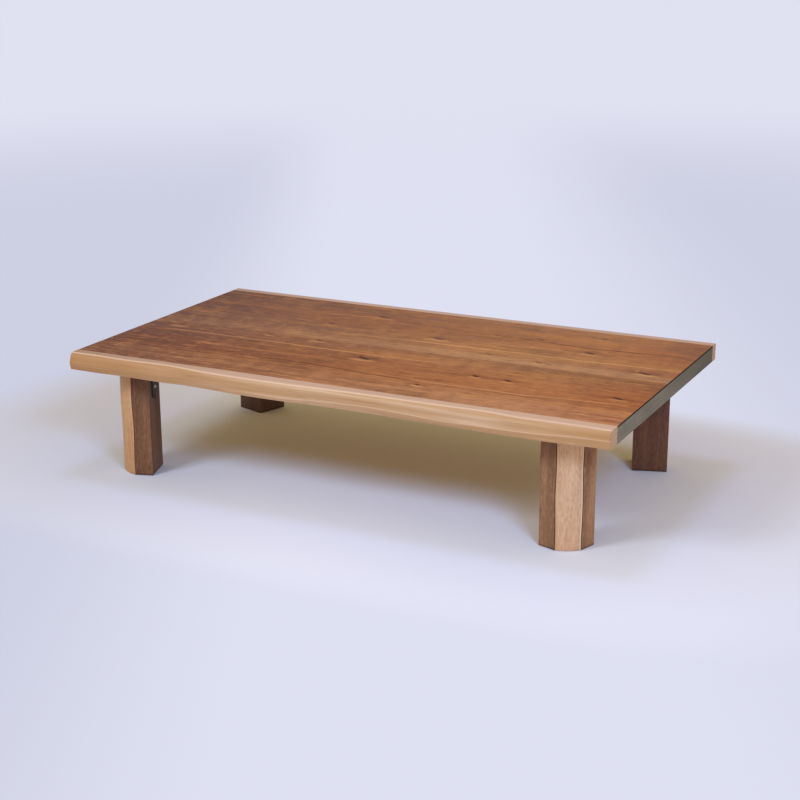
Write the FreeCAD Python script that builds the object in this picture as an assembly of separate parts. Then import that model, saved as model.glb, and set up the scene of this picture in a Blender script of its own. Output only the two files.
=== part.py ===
import FreeCAD, Part
import math
import os

from FreeCAD import Vector

# Folding low table: a veneered flush-core top with solid wood edge strips,
# on four turned square legs that fold in under the top.
# Millimetres. The origin is on the floor under the middle of the table,
# +X runs along the table, -Y is the front with the wavy edge, +Z is up.

# Overall sizes of the table
table_length = 1350.0
table_height = 302.0
top_thickness = 40.0
panel_depth = 688.0
front_strip_width = 50.0
back_strip_width = 26.0

# Sheets and bands of the top
face_thickness = 4.0
bottom_thickness = 4.0
end_band_thickness = 6.0
back_strip_ease = 3.0

# Rails, ribs and blocks of the flush core
long_rail_width = 45.0
end_rail_width = 45.0
cross_rail_width = 45.0
cross_rail_setback = 163.8
rib_width = 30.0
rib_count = 4
leg_block_depth = 120.0

# Loose tongues between the core and the edge strips
tongue_width = 16.0
tongue_thickness = 4.0
tongue_end_gap = 30.0
glue_gap = 0.1

# Legs: square posts, turned in plan, outer corner cut to a bowed facet
leg_side = 84.0
leg_turn_degrees = 18.0
leg_end_inset = 123.7
leg_front_inset = 106.0
leg_back_inset = 92.0
leg_corner_cut = 42.0
leg_facet_bow = 6.0
leg_facet_wave = 1.2
leg_facing_thickness = 2.0
glide_radius = 25.0
glide_thickness = 3.0
glide_stand = 1.0
glide_fit = 0.1

# Folding fitting: pivot place, plates and ears
pivot_drop = 12.0
pivot_inset = 12.0
pin_radius = 3.0
pin_head_radius = 5.0
pin_head_thickness = 1.8
pin_fixed_fit = 0.02
pin_running_fit = 0.05
plate_thickness = 2.5
leaf_width = 38.0
leaf_length = 78.0
leaf_top_gap = 0.5
leaf_ear_root = 22.0
cam_radius = 6.5
cam_flat = 5.8
ear_side_gap = 0.3
base_length = 83.0
base_wide_length = 56.0
base_wide_width = 60.0
base_corner_radius = 6.0
base_ear_radius = 8.0
base_ear_length = 20.0

# Lock spring and its rivets
spring_width = 34.0
spring_thickness = 1.0
spring_length = 72.0
spring_cam_gap = 0.25
spring_low_length = 14.0
spring_bend_length = 14.0
rivet_radius = 1.5
rivet_head_radius = 3.0
rivet_head_height = 1.4
rivet_spacing = 16.0
rivet_end_distance = 12.0

# Screws
screw_fit = 0.05
base_screw_radius = 2.0
base_screw_length = 20.0
base_screw_head_radius = 4.0
base_screw_head_depth = 2.0
base_screw_spacing_along = 36.0
base_screw_spacing_across = 44.0
base_screw_end_distance = 10.0
leaf_screw_radius = 1.9
leaf_screw_length = 22.0
leaf_screw_head_radius = 3.8
leaf_screw_head_height = 2.0
leaf_screw_low_place = 49.0
leaf_screw_high_place = 26.0
leaf_screw_spacing = 18.0
screw_point_length = 5.0
recess_length = 4.0
recess_width = 1.0
recess_depth = 1.2

# One overrun for every cut
overrun = 5.0

# The wavy face of the front strip. Each row is a place along the table as a share
# of its length, then the widths of the strip at its top arris, at the nose or
# ridge and at the foot as shares of the strip's width, and the height of the
# nose above the underside as a share of the thickness.
live_edge_shares = [
    (-0.500, 0.50, 0.79, 0.71, 0.38),
    (-0.445, 0.49, 0.79, 0.72, 0.39),
    (-0.395, 0.53, 0.74, 0.67, 0.40),
    (-0.351, 0.50, 0.77, 0.70, 0.40),
    (-0.308, 0.45, 0.78, 0.71, 0.40),
    (-0.265, 0.52, 0.72, 0.65, 0.38),
    (-0.222, 0.66, 0.76, 0.69, 0.34),
    (-0.148, 0.72, 0.87, 0.82, 0.27),
    (-0.070, 0.70, 0.87, 0.82, 0.22),
    (0.000, 0.63, 0.77, 0.71, 0.29),
    (0.074, 0.56, 0.78, 0.71, 0.38),
    (0.148, 0.54, 0.85, 0.80, 0.35),
    (0.216, 0.53, 0.92, 0.87, 0.28),
    (0.283, 0.48, 0.96, 0.92, 0.31),
    (0.350, 0.63, 0.99, 0.95, 0.34),
    (0.395, 0.61, 1.00, 0.96, 0.40),
    (0.450, 0.60, 0.88, 0.83, 0.46),
    (0.500, 0.64, 0.83, 0.78, 0.46),
]
face_swell_share = 0.06

# How far the hand-worked facet of a leg wanders, from foot to top, as shares of
# its wave: once for each long edge.
facet_wave_shares = [(0.0, 0.0), (0.6, -0.4), (-0.5, 0.8), (-1.0, 0.2), (0.3, -0.9), (0.0, 0.5), (0.0, 0.0)]

# Planes and lines that several pieces share
half_length = table_length / 2
table_depth = front_strip_width + panel_depth + back_strip_width
panel_front = front_strip_width - table_depth / 2
panel_back = table_depth / 2 - back_strip_width
leg_spacing_x = table_length - 2 * leg_end_inset
leg_spacing_y = table_depth - leg_front_inset - leg_back_inset
leg_line_y = (leg_front_inset - leg_back_inset) / 2
underside = table_height - top_thickness
core_bottom = underside + bottom_thickness
core_top = table_height - face_thickness
core_end = half_length - end_band_thickness
core_middle_height = (core_bottom + core_top) / 2
rail_inner_front = panel_front + long_rail_width
rail_inner_back = panel_back - long_rail_width
end_rail_inner = core_end - end_rail_width
cross_rail_centre = leg_spacing_x / 2 - cross_rail_setback
cross_rail_inner = cross_rail_centre - cross_rail_width / 2
cross_rail_outer = cross_rail_centre + cross_rail_width / 2
groove_depth = tongue_width / 2 + glue_gap
leg_half = leg_side / 2
leg_bottom = glide_stand
leg_height = underside - leg_bottom
pivot_x = -leg_half - pivot_inset
pivot_height = underside - pivot_drop
leaf_front = -leg_half - plate_thickness
base_low_face = underside - plate_thickness
base_outer_edge = pivot_x + base_ear_radius
base_inner_edge = base_outer_edge - base_length
leaf_ear_outside = leaf_width / 2
base_ear_inside = leaf_ear_outside + ear_side_gap
base_ear_outside = base_ear_inside + plate_thickness

# The four corners: name, and whether it is mirrored from the front right leg
corners = [
    ("front_right", False, False),
    ("front_left", True, False),
    ("back_right", False, True),
    ("back_left", True, True),
]


def block(x_low, x_high, y_low, y_high, z_low, z_high):
    size = Vector(x_high - x_low, y_high - y_low, z_high - z_low)
    return Part.makeBox(size.x, size.y, size.z, Vector(x_low, y_low, z_low))


def rod(radius, length, start, direction):
    return Part.makeCylinder(radius, length, start, direction)


def to_corner(shape, on_left, on_back):
    # Moves a shape from the leg's own frame to one corner of the table.
    # There +X is the leg's outer side, the origin is on the floor at the leg's axis.
    placed = shape.copy()
    placed.rotate(Vector(0, 0, 0), Vector(0, 0, 1), -leg_turn_degrees)
    placed.translate(Vector(leg_spacing_x / 2, leg_line_y - leg_spacing_y / 2, 0))
    if on_left:
        placed = placed.mirror(Vector(0, 0, 0), Vector(1, 0, 0))
    if on_back:
        placed = placed.mirror(Vector(0, leg_line_y, 0), Vector(0, 1, 0))
    return placed


# Front strip: solid light wood with a hand-worked face that waves along the table
def front_strip_section(row):
    place_share, arris_share, nose_share, foot_share, height_share = row
    x = place_share * table_length
    inner_top = Vector(x, panel_front, table_height)
    arris = Vector(x, panel_front - arris_share * front_strip_width, table_height)
    nose_height = underside + height_share * top_thickness
    nose = Vector(x, panel_front - nose_share * front_strip_width, nose_height)
    foot = Vector(x, panel_front - foot_share * front_strip_width, underside)
    inner_foot = Vector(x, panel_front, underside)
    chord = nose - arris
    swell = face_swell_share * front_strip_width
    outward = Vector(0, chord.z, -chord.y)
    outward.normalize()
    middle = (arris + nose) / 2 + outward * swell
    return Part.Wire([
        Part.makeLine(inner_top, arris),
        Part.Arc(arris, middle, nose).toShape(),
        Part.makeLine(nose, foot),
        Part.makeLine(foot, inner_foot),
        Part.makeLine(inner_foot, inner_top),
    ])


def front_edge_strip():
    sections = [front_strip_section(row) for row in live_edge_shares]
    strip = Part.makeLoft(sections, True, False)
    return strip.cut(tongue_groove(panel_front))


def tongue_solid(y_centre, growth):
    half_run = half_length - tongue_end_gap + growth
    half_width = tongue_width / 2 + growth
    half_thickness = tongue_thickness / 2 + growth
    return block(-half_run, half_run, y_centre - half_width, y_centre + half_width,
                 core_middle_height - half_thickness, core_middle_height + half_thickness)


def tongue_groove(y_centre):
    return tongue_solid(y_centre, glue_gap)


def back_edge_strip():
    strip = block(-half_length, half_length, panel_back, table_depth / 2, underside, table_height)
    outer_edges = []
    for edge in strip.Edges:
        middle = edge.CenterOfMass
        if abs(middle.y - table_depth / 2) < glue_gap and abs(middle.x) < glue_gap:
            outer_edges.append(edge)
    strip = strip.makeFillet(back_strip_ease, outer_edges)
    return strip.cut(tongue_groove(panel_back))


# Sheets and bands
def face_panel():
    return block(-half_length, half_length, panel_front, panel_back, core_top, table_height)


def bottom_panel():
    sheet = block(-core_end, core_end, panel_front, panel_back, underside, core_bottom)
    return sheet.cut(all_base_screw_holes())


def end_band(side):
    if side < 0:
        return block(-half_length, -core_end, panel_front, panel_back, underside, core_top)
    return block(core_end, half_length, panel_front, panel_back, underside, core_top)


# Rails, ribs and blocks of the core
def core_front_rail():
    rail = block(-core_end, core_end, panel_front, rail_inner_front, core_bottom, core_top)
    return rail.cut(tongue_groove(panel_front)).cut(all_base_screw_holes())


def core_back_rail():
    rail = block(-core_end, core_end, rail_inner_back, panel_back, core_bottom, core_top)
    return rail.cut(tongue_groove(panel_back)).cut(all_base_screw_holes())


def core_end_rail(side):
    rail = block(end_rail_inner, core_end, rail_inner_front, rail_inner_back, core_bottom, core_top)
    if side < 0:
        rail = rail.mirror(Vector(0, 0, 0), Vector(1, 0, 0))
    return rail


def core_cross_rail(side):
    rail = block(cross_rail_inner, cross_rail_outer, rail_inner_front, rail_inner_back,
                 core_bottom, core_top)
    if side < 0:
        rail = rail.mirror(Vector(0, 0, 0), Vector(1, 0, 0))
    return rail


def core_rib(number):
    free_width = 2 * cross_rail_inner - rib_count * rib_width
    pitch = free_width / (rib_count + 1) + rib_width
    low = -cross_rail_inner - rib_width + number * pitch
    return block(low, low + rib_width, rail_inner_front, rail_inner_back, core_bottom, core_top)


def core_end_rib(side):
    middle = (rail_inner_front + rail_inner_back) / 2
    rib = block(cross_rail_outer, end_rail_inner, middle - rib_width / 2, middle + rib_width / 2,
                core_bottom, core_top)
    if side < 0:
        rib = rib.mirror(Vector(0, 0, 0), Vector(1, 0, 0))
    return rib


def leg_block(on_left, on_back):
    if on_back:
        solid = block(cross_rail_outer, end_rail_inner, rail_inner_back - leg_block_depth,
                      rail_inner_back, core_bottom, core_top)
    else:
        solid = block(cross_rail_outer, end_rail_inner, rail_inner_front,
                      rail_inner_front + leg_block_depth, core_bottom, core_top)
    if on_left:
        solid = solid.mirror(Vector(0, 0, 0), Vector(1, 0, 0))
    return solid.cut(all_base_screw_holes())


# Leg: a light post, four walnut boards mitred round it, and a bowed facet over all
def facet_section(height, wave_front, wave_side):
    cut_line = leg_half - leg_corner_cut
    front_point = Vector(cut_line + wave_front * leg_facet_wave, -leg_half, height)
    side_point = Vector(leg_half, -cut_line + wave_side * leg_facet_wave, height)
    outward = Vector(1, -1, 0)
    outward.normalize()
    crown = (front_point + side_point) / 2 + outward * leg_facet_bow
    far = leg_half + overrun
    return Part.Wire([
        Part.Arc(front_point, crown, side_point).toShape(),
        Part.makeLine(side_point, Vector(far, side_point.y, height)),
        Part.makeLine(Vector(far, side_point.y, height), Vector(far, -far, height)),
        Part.makeLine(Vector(far, -far, height), Vector(front_point.x, -far, height)),
        Part.makeLine(Vector(front_point.x, -far, height), front_point),
    ])


def facet_tool():
    steps = len(facet_wave_shares) - 1
    low = leg_bottom - overrun
    run = leg_height + 2 * overrun
    sections = []
    for index, (wave_front, wave_side) in enumerate(facet_wave_shares):
        sections.append(facet_section(low + run * index / steps, wave_front, wave_side))
    return Part.makeLoft(sections, True, False)


def leaf_screw_places():
    high = underside - leaf_screw_high_place
    low = underside - leaf_screw_low_place
    return [
        Vector(leaf_front, -leaf_screw_spacing / 2, high),
        Vector(leaf_front, leaf_screw_spacing / 2, high),
        Vector(leaf_front, 0, low),
    ]


def leaf_screw_holes():
    holes = []
    for place in leaf_screw_places():
        radius = leaf_screw_radius + screw_fit
        start = place - Vector(overrun, 0, 0)
        holes.append(rod(radius, leaf_screw_length + screw_fit + overrun, start, Vector(1, 0, 0)))
    return Part.makeCompound(holes)


def leg_core():
    half = leg_half - leg_facing_thickness
    post = block(-half, half, -half, half, leg_bottom, underside)
    pocket = rod(glide_radius + glide_fit, glide_thickness - glide_stand + overrun,
                 Vector(0, 0, leg_bottom - overrun), Vector(0, 0, 1))
    return post.cut(facet_tool()).cut(pocket).cut(leaf_screw_holes())


def leg_facing():
    inner = leg_half - leg_facing_thickness
    outline = Part.makePolygon([
        Vector(-leg_half, -leg_half, leg_bottom),
        Vector(leg_half, -leg_half, leg_bottom),
        Vector(inner, -inner, leg_bottom),
        Vector(-inner, -inner, leg_bottom),
        Vector(-leg_half, -leg_half, leg_bottom),
    ])
    board = Part.Face(outline).extrude(Vector(0, 0, leg_height))
    tool = facet_tool()
    holes = leaf_screw_holes()
    boards = []
    for quarter in range(4):
        turned = board.copy()
        turned.rotate(Vector(0, 0, 0), Vector(0, 0, 1), 90 * quarter)
        boards.extend(turned.cut(tool).cut(holes).Solids)
    return Part.makeCompound(boards)


def leg_glide():
    return rod(glide_radius, glide_thickness, Vector(0, 0, 0), Vector(0, 0, 1))


# Screws: shank, point and a crossed recess in the head
def screw_shank(radius, length, start, direction):
    straight = rod(radius, length - screw_point_length, start, direction)
    tip_start = start + direction * (length - screw_point_length)
    point = Part.makeCone(radius, radius / 4, screw_point_length, tip_start, direction)
    return straight.fuse(point)


def crossed_recess(centre, direction):
    # Two crossing slots that run into the head from its outer face.
    arms = []
    for long_side, short_side in ((recess_length, recess_width), (recess_width, recess_length)):
        arm = Part.makeBox(long_side, short_side, recess_depth + overrun,
                           Vector(-long_side / 2, -short_side / 2, -overrun))
        arms.append(arm)
    cross = arms[0].fuse(arms[1])
    turn = FreeCAD.Rotation(Vector(0, 0, 1), direction)
    cross.Placement = FreeCAD.Placement(centre, turn)
    return cross


def base_screw_places():
    first = base_inner_edge + base_screw_end_distance
    places = []
    for x in (first, first + base_screw_spacing_along):
        for y in (-base_screw_spacing_across / 2, base_screw_spacing_across / 2):
            places.append(Vector(x, y, base_low_face))
    return places


def base_screw(place):
    up = Vector(0, 0, 1)
    head = Part.makeCone(base_screw_head_radius, base_screw_radius, base_screw_head_depth, place, up)
    shank = screw_shank(base_screw_radius, base_screw_length, place, up)
    return head.fuse(shank).cut(crossed_recess(place, up))


def base_screw_hole(place):
    up = Vector(0, 0, 1)
    radius = base_screw_radius + screw_fit
    shaft = rod(radius, base_screw_length + screw_fit, place, up)
    head_radius = base_screw_head_radius + screw_fit
    sink = Part.makeCone(head_radius, radius, base_screw_head_depth, place, up)
    return shaft.fuse(sink)


def base_screw_holes():
    return Part.makeCompound([base_screw_hole(place) for place in base_screw_places()])


def all_base_screw_holes():
    tools = [to_corner(base_screw_holes(), on_left, on_back) for name, on_left, on_back in corners]
    return Part.makeCompound(tools)


def hinge_base_screws():
    screws = []
    for name, on_left, on_back in corners:
        for place in base_screw_places():
            screws.append(to_corner(base_screw(place), on_left, on_back))
    return Part.makeCompound(screws)


def leaf_screw(place):
    inward = Vector(1, 0, 0)
    head = rod(leaf_screw_head_radius, leaf_screw_head_height,
               place - inward * leaf_screw_head_height, inward)
    rim = []
    for edge in head.Edges:
        if abs(edge.CenterOfMass.x - (place.x - leaf_screw_head_height)) < screw_fit:
            rim.append(edge)
    head = head.makeFillet(leaf_screw_head_height / 2, rim)
    shank = screw_shank(leaf_screw_radius, leaf_screw_length, place, inward)
    recess = crossed_recess(place - inward * leaf_screw_head_height, inward)
    return head.fuse(shank).cut(recess)


def leaf_screws():
    return Part.makeCompound([leaf_screw(place) for place in leaf_screw_places()])


# Folding fitting. The leaf is screwed to the leg's inner face: a plate with a round
# lower end, and an ear at each side whose cam edge turns about the pin.
def leaf_plate():
    low = underside - leaf_length
    bend_height = low + leaf_width / 2
    half = leaf_width / 2
    top = underside - leaf_top_gap
    left = Vector(leaf_front, -half, bend_height)
    right = Vector(leaf_front, half, bend_height)
    outline = Part.Wire([
        Part.makeLine(left, Vector(leaf_front, -half, top)),
        Part.makeLine(Vector(leaf_front, -half, top), Vector(leaf_front, half, top)),
        Part.makeLine(Vector(leaf_front, half, top), right),
        Part.Arc(right, Vector(leaf_front, 0, low), left).toShape(),
    ])
    return Part.Face(outline).extrude(Vector(plate_thickness, 0, 0))


def leaf_ear(y_low):
    # Side view of the ear: from the plate to the round cam, with two flats on it
    cam_top = math.sqrt(cam_radius ** 2 - cam_flat ** 2)
    diagonal = cam_radius * math.sin(math.radians(45))
    top = pivot_height + cam_flat
    outline = Part.Wire([
        Part.makeLine(Vector(leaf_front, y_low, top), Vector(pivot_x - cam_top, y_low, top)),
        Part.Arc(Vector(pivot_x - cam_top, y_low, top),
                 Vector(pivot_x - diagonal, y_low, pivot_height + diagonal),
                 Vector(pivot_x - cam_flat, y_low, pivot_height + cam_top)).toShape(),
        Part.makeLine(Vector(pivot_x - cam_flat, y_low, pivot_height + cam_top),
                      Vector(pivot_x - cam_flat, y_low, pivot_height - cam_top)),
        Part.makeLine(Vector(pivot_x - cam_flat, y_low, pivot_height - cam_top),
                      Vector(leaf_front, y_low, pivot_height - leaf_ear_root)),
        Part.makeLine(Vector(leaf_front, y_low, pivot_height - leaf_ear_root),
                      Vector(leaf_front, y_low, top)),
    ])
    return Part.Face(outline).extrude(Vector(0, plate_thickness, 0))


def pin_bore(fit):
    half_run = base_ear_outside + overrun
    return rod(pin_radius + fit, 2 * half_run, Vector(pivot_x, -half_run, pivot_height), Vector(0, 1, 0))


def hinge_leaf():
    leaf = leaf_plate()
    leaf = leaf.fuse(leaf_ear(-leaf_ear_outside))
    leaf = leaf.fuse(leaf_ear(leaf_ear_outside - plate_thickness))
    return leaf.cut(pin_bore(pin_running_fit)).cut(leaf_screw_holes()).removeSplitter()


# The base is screwed up into the leg block: a stamped plate whose narrow end has
# two ears turned down, outside the ears of the leaf.
def base_plate():
    wide = block(base_inner_edge, base_inner_edge + base_wide_length,
                 -base_wide_width / 2, base_wide_width / 2, base_low_face, underside)
    corner_edges = []
    for edge in wide.Edges:
        low_end, high_end = edge.Vertexes[0].Point, edge.Vertexes[-1].Point
        if abs(abs(high_end.z - low_end.z) - plate_thickness) < screw_fit:
            corner_edges.append(edge)
    wide = wide.makeFillet(base_corner_radius, corner_edges)
    narrow = block(base_inner_edge + base_corner_radius, base_outer_edge,
                   -base_ear_outside, base_ear_outside, base_low_face, underside)
    return wide.fuse(narrow)


def base_ear(y_low):
    # Side view of the ear: hangs from the plate and is round about the pin
    back = base_outer_edge - base_ear_length
    front_point = Vector(base_outer_edge, y_low, pivot_height)
    low_point = Vector(pivot_x, y_low, pivot_height - base_ear_radius)
    round_half = base_ear_radius * math.sin(math.radians(45))
    between = Vector(pivot_x + round_half, y_low, pivot_height - round_half)
    outline = Part.Wire([
        Part.makeLine(Vector(back, y_low, base_low_face), Vector(base_outer_edge, y_low, base_low_face)),
        Part.makeLine(Vector(base_outer_edge, y_low, base_low_face), front_point),
        Part.Arc(front_point, between, low_point).toShape(),
        Part.makeLine(low_point, Vector(back, y_low, base_low_face)),
    ])
    return Part.Face(outline).extrude(Vector(0, plate_thickness, 0))


def rivet_places():
    first = base_inner_edge + rivet_end_distance
    return [Vector(first, 0, base_low_face), Vector(first + rivet_spacing, 0, base_low_face)]


def rivet_bore(place, fit):
    return rod(rivet_radius + fit, 2 * overrun, place - Vector(0, 0, overrun), Vector(0, 0, 1))


def hinge_base():
    base = base_plate()
    base = base.fuse(base_ear(-base_ear_outside))
    base = base.fuse(base_ear(base_ear_inside))
    base = base.cut(pin_bore(pin_fixed_fit)).cut(base_screw_holes())
    for place in rivet_places():
        base = base.cut(rivet_bore(place, screw_fit))
    return base.removeSplitter()


def hinge_pin():
    shank = rod(pin_radius, 2 * base_ear_outside, Vector(pivot_x, -base_ear_outside, pivot_height),
                Vector(0, 1, 0))
    pin = shank
    for y, direction in ((base_ear_outside, 1), (-base_ear_outside, -1)):
        along = Vector(0, direction, 0)
        head = rod(pin_head_radius, pin_head_thickness, Vector(pivot_x, y, pivot_height), along)
        rim = []
        for edge in head.Edges:
            if abs(edge.CenterOfMass.y - (y + direction * pin_head_thickness)) < screw_fit:
                rim.append(edge)
        pin = pin.fuse(head.makeFillet(pin_head_thickness / 2, rim))
    return pin


def lock_spring():
    # Side view: flat under the base, then bent down to lie over the cams of the leaf
    upper = base_low_face
    lower = pivot_height + cam_radius + spring_cam_gap + spring_thickness
    far = base_inner_edge + rivet_end_distance / 2
    near = far + spring_length
    bend_end = near - spring_low_length
    bend_start = bend_end - spring_bend_length
    outline = Part.makePolygon([
        Vector(far, -spring_width / 2, upper),
        Vector(bend_start, -spring_width / 2, upper),
        Vector(bend_end, -spring_width / 2, lower),
        Vector(near, -spring_width / 2, lower),
        Vector(near, -spring_width / 2, lower - spring_thickness),
        Vector(bend_end, -spring_width / 2, lower - spring_thickness),
        Vector(bend_start, -spring_width / 2, upper - spring_thickness),
        Vector(far, -spring_width / 2, upper - spring_thickness),
        Vector(far, -spring_width / 2, upper),
    ])
    spring = Part.Face(outline).extrude(Vector(0, spring_width, 0))
    for place in rivet_places():
        spring = spring.cut(rivet_bore(place, screw_fit))
    return spring


def spring_rivet(place):
    low = place - Vector(0, 0, spring_thickness)
    shank = rod(rivet_radius, spring_thickness + plate_thickness, low, Vector(0, 0, 1))
    head = rod(rivet_head_radius, rivet_head_height, low - Vector(0, 0, rivet_head_height),
               Vector(0, 0, 1))
    rim = []
    for edge in head.Edges:
        if abs(edge.CenterOfMass.z - (low.z - rivet_head_height)) < screw_fit:
            rim.append(edge)
    return shank.fuse(head.makeFillet(rivet_head_height / 2, rim))


def lock_spring_rivets():
    rivets = []
    for name, on_left, on_back in corners:
        for place in rivet_places():
            rivets.append(to_corner(spring_rivet(place), on_left, on_back))
    return Part.makeCompound(rivets)


# Every sub-part by its name
def table_parts():
    parts = {
        "face_panel": face_panel(),
        "bottom_panel": bottom_panel(),
        "front_edge_strip": front_edge_strip(),
        "back_edge_strip": back_edge_strip(),
        "end_band_left": end_band(-1),
        "end_band_right": end_band(1),
        "core_front_rail": core_front_rail(),
        "core_back_rail": core_back_rail(),
        "core_end_rail_left": core_end_rail(-1),
        "core_end_rail_right": core_end_rail(1),
        "core_cross_rail_left": core_cross_rail(-1),
        "core_cross_rail_right": core_cross_rail(1),
        "core_end_rib_left": core_end_rib(-1),
        "core_end_rib_right": core_end_rib(1),
        "front_tongue": tongue_solid(panel_front, 0),
        "back_tongue": tongue_solid(panel_back, 0),
        "hinge_base_screws": hinge_base_screws(),
        "lock_spring_rivets": lock_spring_rivets(),
    }
    for number in range(1, rib_count + 1):
        parts["core_rib_" + str(number)] = core_rib(number)
    return parts


def corner_parts():
    own_frame = {
        "leg_core": leg_core(),
        "leg_facing": leg_facing(),
        "leg_glide": leg_glide(),
        "hinge_leaf": hinge_leaf(),
        "leaf_screws": leaf_screws(),
        "hinge_base": hinge_base(),
        "hinge_pin": hinge_pin(),
        "lock_spring": lock_spring(),
    }
    parts = {}
    for name, on_left, on_back in corners:
        for piece, shape in own_frame.items():
            parts[piece + "_" + name] = to_corner(shape, on_left, on_back)
        parts["leg_block_" + name] = leg_block(on_left, on_back)
    return parts


os.makedirs("parts", exist_ok=True)
all_parts = table_parts()
all_parts.update(corner_parts())
for node, shape in sorted(all_parts.items()):
    shape.exportStep("parts/" + node + ".step")
    box = shape.BoundBox
    print(node, "valid", shape.isValid(), "solids", len(shape.Solids), "volume", round(shape.Volume),
          "x", round(box.XMin, 1), round(box.XMax, 1), "y", round(box.YMin, 1), round(box.YMax, 1),
          "z", round(box.ZMin, 1), round(box.ZMax, 1))
print("nodes", len(all_parts))
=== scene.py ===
import math

import bmesh
import bpy
from mathutils import Matrix, Vector


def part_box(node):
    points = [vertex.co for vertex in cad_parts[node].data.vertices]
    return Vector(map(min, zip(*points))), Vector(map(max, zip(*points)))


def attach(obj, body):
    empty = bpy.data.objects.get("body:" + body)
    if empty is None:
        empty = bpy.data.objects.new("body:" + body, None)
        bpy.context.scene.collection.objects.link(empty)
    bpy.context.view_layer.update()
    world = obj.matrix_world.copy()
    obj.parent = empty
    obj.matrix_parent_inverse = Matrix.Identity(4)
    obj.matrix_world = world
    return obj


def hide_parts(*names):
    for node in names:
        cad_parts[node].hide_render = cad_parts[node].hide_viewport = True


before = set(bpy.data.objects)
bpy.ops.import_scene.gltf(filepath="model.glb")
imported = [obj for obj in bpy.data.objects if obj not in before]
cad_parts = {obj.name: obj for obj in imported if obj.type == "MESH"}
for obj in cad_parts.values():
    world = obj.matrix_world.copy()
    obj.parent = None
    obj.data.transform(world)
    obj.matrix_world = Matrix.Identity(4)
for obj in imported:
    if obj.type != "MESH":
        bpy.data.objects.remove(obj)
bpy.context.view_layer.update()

# Walnut face
# A thin walnut-faced sheet, two long leaves laid side by side, glued over the core.
# Its grain runs along the table, with a few small pin knots, under a satin lacquer.

panel_low, panel_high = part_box("face_panel")
face_ease = 0.0004
half_table = panel_high.x
crease_angle = math.radians(32)


def paint(red, green, blue):
    """A colour written as 0 to 255 on a screen, as the shader wants it."""
    shares = [channel / 255 for channel in (red, green, blue)]
    linear = [s / 12.92 if s <= 0.04045 else ((s + 0.055) / 1.055) ** 2.4 for s in shares]
    return (*linear, 1.0)


def feed(tree, socket, source):
    """Links a socket to another one, or sets it to a plain value."""
    if isinstance(source, bpy.types.NodeSocket):
        tree.links.new(source, socket)
    else:
        socket.default_value = source


def number(tree, operation, *terms):
    node = tree.nodes.new("ShaderNodeMath")
    node.operation = operation
    for place, term in enumerate(terms):
        feed(tree, node.inputs[place], term)
    return node.outputs[0]


def vector(tree, operation, *terms):
    node = tree.nodes.new("ShaderNodeVectorMath")
    node.operation = operation
    for place, term in enumerate(terms):
        feed(tree, node.inputs[place], term)
    return node.outputs["Value" if operation in ("DOT_PRODUCT", "LENGTH") else "Vector"]


def apart(tree, point):
    node = tree.nodes.new("ShaderNodeSeparateXYZ")
    feed(tree, node.inputs[0], point)
    return node.outputs["X"], node.outputs["Y"], node.outputs["Z"]


def together(tree, x, y, z):
    node = tree.nodes.new("ShaderNodeCombineXYZ")
    for place, source in enumerate((x, y, z)):
        feed(tree, node.inputs[place], source)
    return node.outputs[0]


def noise(tree, point, scales, detail=2.0, roughness=0.5):
    """Soft noise, stretched by its own scale, in cycles per metre, along each axis."""
    node = tree.nodes.new("ShaderNodeTexNoise")
    feed(tree, node.inputs["Vector"], vector(tree, "MULTIPLY", point, scales))
    node.inputs["Scale"].default_value = 1.0
    node.inputs["Detail"].default_value = detail
    node.inputs["Roughness"].default_value = roughness
    return node.outputs["Fac"]


def between(tree, value, low, high, out_low=0.0, out_high=1.0, smooth=True):
    """The value's place between low and high, carried over to the range that comes out."""
    node = tree.nodes.new("ShaderNodeMapRange")
    node.interpolation_type = "SMOOTHSTEP" if smooth else "LINEAR"
    for socket, source in zip(node.inputs, (value, low, high, out_low, out_high)):
        feed(tree, socket, source)
    return node.outputs[0]


def tones(tree, value, *stops):
    """A colour ramp: each stop is a place from 0 to 1 and a colour."""
    node = tree.nodes.new("ShaderNodeValToRGB")
    feed(tree, node.inputs[0], value)
    elements = node.color_ramp.elements
    while len(elements) < len(stops):
        elements.new(1.0)
    for element, (place, colour) in zip(elements, stops):
        element.position = place
        element.color = colour
    return node.outputs["Color"]


def mixed(tree, share, first, second, way="MIX"):
    node = tree.nodes.new("ShaderNodeMix")
    node.data_type = "RGBA"
    node.blend_type = way
    feed(tree, node.inputs["Factor"], share)
    feed(tree, node.inputs["A"], first)
    feed(tree, node.inputs["B"], second)
    return node.outputs["Result"]


def stained(tree, colour, *passes):
    """Lays stains over a colour in turn. Each pass names the pattern that it follows, two
    values of that pattern, the stain's share at the first and at the second, and its tone."""
    for pattern, low, high, share_low, share_high, tone in passes:
        share = between(tree, pattern, low, high, share_low, share_high)
        colour = mixed(tree, share, colour, tone)
    return colour


def new_finish(name):
    """An empty material, its node tree, its shader and its place on the object."""
    material = bpy.data.materials.new(name)
    material.use_nodes = True
    tree = material.node_tree
    shader = tree.nodes["Principled BSDF"]
    point = tree.nodes.new("ShaderNodeTexCoord").outputs["Object"]
    return material, tree, shader, point


def coat(tree, shader, colour, roughness, gloss=0.5):
    """Gives the shader its colour, its roughness and how strongly it reflects."""
    feed(tree, shader.inputs["Base Color"], colour)
    feed(tree, shader.inputs["Roughness"], roughness)
    shader.inputs["Specular IOR Level"].default_value = gloss


def relief(tree, shader, height, depth):
    """Bump whose height of 1 stands for a real depth in metres."""
    node = tree.nodes.new("ShaderNodeBump")
    node.inputs["Distance"].default_value = depth
    feed(tree, node.inputs["Height"], height)
    tree.links.new(node.outputs["Normal"], shader.inputs["Normal"])


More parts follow.
